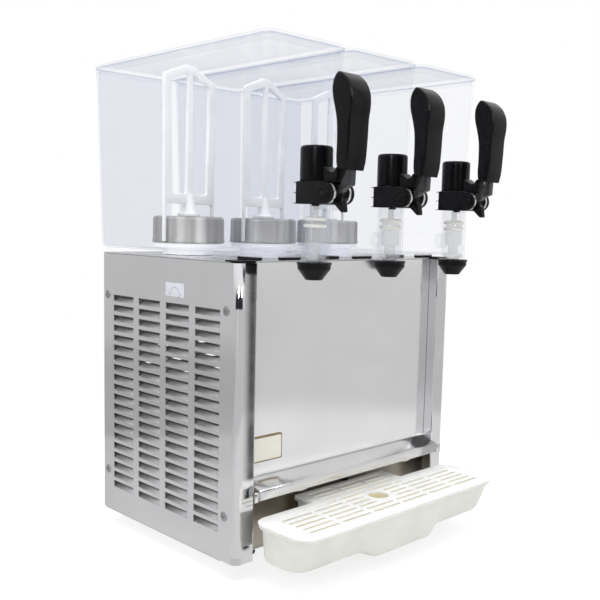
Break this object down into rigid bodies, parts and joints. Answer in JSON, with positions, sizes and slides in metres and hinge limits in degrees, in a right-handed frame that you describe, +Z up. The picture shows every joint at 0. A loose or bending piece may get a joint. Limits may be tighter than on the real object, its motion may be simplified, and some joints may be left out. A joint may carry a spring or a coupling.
{
  "type": "juice dispenser",
  "caption": "Cold juice dispenser with clear bowls, lever taps, a slotted steel cabinet and a pull-out drip tray.",
  "frame": {"origin": "centre of the bounding box on the surface that the feet stand on", "axes": "+Z up, -Y towards the user (taps and drip tray), +X to the right seen from the user"},
  "size_m": [0.4272, 0.473, 0.6741],
  "materials": {
    "polished_steel": "polished",
    "brushed_steel": "brushed",
    "zinc_steel": "zinc plated",
    "bright_steel": "bright",
    "clear_plastic": "clear moulded polycarbonate",
    "black_plastic": "satin black moulded",
    "white_plastic": "white moulded",
    "cream_plastic": "warm white moulded",
    "black_rubber": "moulded rubber",
    "dark_paint": "black paint",
    "coil_metal": "finned coil"
  },
  "bodies": {
    "cabinet": {"base_pan": "zinc_steel", "foot_front_left": "black_rubber", "foot_front_right": "black_rubber", "foot_back_left": "black_rubber", "foot_back_right": "black_rubber", "side_panel_left": "polished_steel", "side_panel_right": "polished_steel", "front_panel": "polished_steel", "drip_ledge": "polished_steel", "kick_panel": "polished_steel", "badge_plate": "cream_plastic", "rear_panel": "brushed_steel", "top_deck": "brushed_steel", "corner_cap_left": "black_plastic", "corner_cap_right": "black_plastic", "cooling_drum_1": "brushed_steel", "cooling_drum_2": "brushed_steel", "cooling_drum_3": "brushed_steel", "bowl_1": "clear_plastic", "bowl_2": "clear_plastic", "bowl_3": "clear_plastic", "nozzle_1": "black_plastic", "nozzle_2": "black_plastic", "nozzle_3": "black_plastic", "tap_bracket_1": "black_plastic", "tap_bracket_2": "black_plastic", "tap_bracket_3": "black_plastic", "tap_cap_1": "black_plastic", "tap_cap_2": "black_plastic", "tap_cap_3": "black_plastic", "lever_pin_1": "bright_steel", "lever_pin_2": "bright_steel", "lever_pin_3": "bright_steel", "mixer_motor_1": "dark_paint", "mixer_motor_2": "dark_paint", "mixer_motor_3": "dark_paint", "tray_hook": "black_plastic", "compressor": "dark_paint", "condenser": "coil_metal", "fan_motor": "dark_paint", "thermostat": "dark_paint", "switch_body": "black_plastic", "cable_inlet": "black_plastic"},
    "agitator_1": {"agitator_1": "white_plastic"},
    "agitator_2": {"agitator_2": "white_plastic"},
    "agitator_3": {"agitator_3": "white_plastic"},
    "lid_1": {"lid_1": "clear_plastic"},
    "lid_2": {"lid_2": "clear_plastic"},
    "lid_3": {"lid_3": "clear_plastic"},
    "lever_1": {"lever_1": "black_plastic"},
    "lever_2": {"lever_2": "black_plastic"},
    "lever_3": {"lever_3": "black_plastic"},
    "piston_1": {"piston_1": "white_plastic"},
    "piston_2": {"piston_2": "white_plastic"},
    "piston_3": {"piston_3": "white_plastic"},
    "drip_tray": {"drip_tray": "cream_plastic"},
    "drip_grille": {"drip_grille": "white_plastic"},
    "fan_blades": {"fan_blades": "black_plastic"},
    "thermostat_knob": {"thermostat_knob": "black_plastic"},
    "power_switch": {"power_switch": "black_plastic"}
  },
  "joints": [
    {"name": "lever_1_turn", "type": "hinge", "parent": "cabinet", "child": "lever_1", "pos_m": [-0.1405, -0.199, 0.4876], "axis": [1, 0, 0], "range_deg": [0, 40], "stiffness_Nm_per_rad": 0.5, "springref_deg": -17.19},
    {"name": "lever_2_turn", "type": "hinge", "parent": "cabinet", "child": "lever_2", "pos_m": [0, -0.199, 0.4876], "axis": [1, 0, 0], "range_deg": [0, 40], "stiffness_Nm_per_rad": 0.5, "springref_deg": -17.19},
    {"name": "lever_3_turn", "type": "hinge", "parent": "cabinet", "child": "lever_3", "pos_m": [0.1405, -0.199, 0.4876], "axis": [1, 0, 0], "range_deg": [0, 40], "stiffness_Nm_per_rad": 0.5, "springref_deg": -17.19},
    {"name": "piston_1_lift", "type": "slide", "parent": "cabinet", "child": "piston_1", "axis": [0, 0, 1], "range_m": [0, 0.009]},
    {"name": "piston_2_lift", "type": "slide", "parent": "cabinet", "child": "piston_2", "axis": [0, 0, 1], "range_m": [0, 0.009]},
    {"name": "piston_3_lift", "type": "slide", "parent": "cabinet", "child": "piston_3", "axis": [0, 0, 1], "range_m": [0, 0.009]},
    {"name": "lid_1_lift", "type": "slide", "parent": "cabinet", "child": "lid_1", "axis": [0, 0, 1], "range_m": [0, 0.06]},
    {"name": "lid_2_lift", "type": "slide", "parent": "cabinet", "child": "lid_2", "axis": [0, 0, 1], "range_m": [0, 0.06]},
    {"name": "lid_3_lift", "type": "slide", "parent": "cabinet", "child": "lid_3", "axis": [0, 0, 1], "range_m": [0, 0.06]},
    {"name": "agitator_1_turn", "type": "hinge", "parent": "cabinet", "child": "agitator_1", "pos_m": [-0.1405, 0.089, 0.46], "axis": [0, 0, 1], "continuous": true},
    {"name": "agitator_2_turn", "type": "hinge", "parent": "cabinet", "child": "agitator_2", "pos_m": [0, 0.089, 0.46], "axis": [0, 0, 1], "continuous": true},
    {"name": "agitator_3_turn", "type": "hinge", "parent": "cabinet", "child": "agitator_3", "pos_m": [0.1405, 0.089, 0.46], "axis": [0, 0, 1], "continuous": true},
    {"name": "tray_slide", "type": "slide", "parent": "cabinet", "child": "drip_tray", "axis": [0, -1, 0], "range_m": [0, 0.09]},
    {"name": "grille_lift", "type": "slide", "parent": "drip_tray", "child": "drip_grille", "axis": [0, 0, 1], "range_m": [0, 0.009]},
    {"name": "fan_turn", "type": "hinge", "parent": "cabinet", "child": "fan_blades", "pos_m": [-0.1365, 0.044, 0.137], "axis": [1, 0, 0], "continuous": true},
    {"name": "thermostat_turn", "type": "hinge", "parent": "cabinet", "child": "thermostat_knob", "pos_m": [0.13, 0.198, 0.34], "axis": [0, 1, 0], "range_deg": [0, 270]},
    {"name": "switch_turn", "type": "hinge", "parent": "cabinet", "child": "power_switch", "pos_m": [-0.09, 0.2003, 0.34], "axis": [1, 0, 0], "range_deg": [0, 16]}
  ],
  "couplings": [
    {"joint": "piston_1_lift", "follows": "lever_1_turn", "m_per_rad": 0.0125},
    {"joint": "piston_2_lift", "follows": "lever_2_turn", "m_per_rad": 0.0125},
    {"joint": "piston_3_lift", "follows": "lever_3_turn", "m_per_rad": 0.0125}
  ]
}
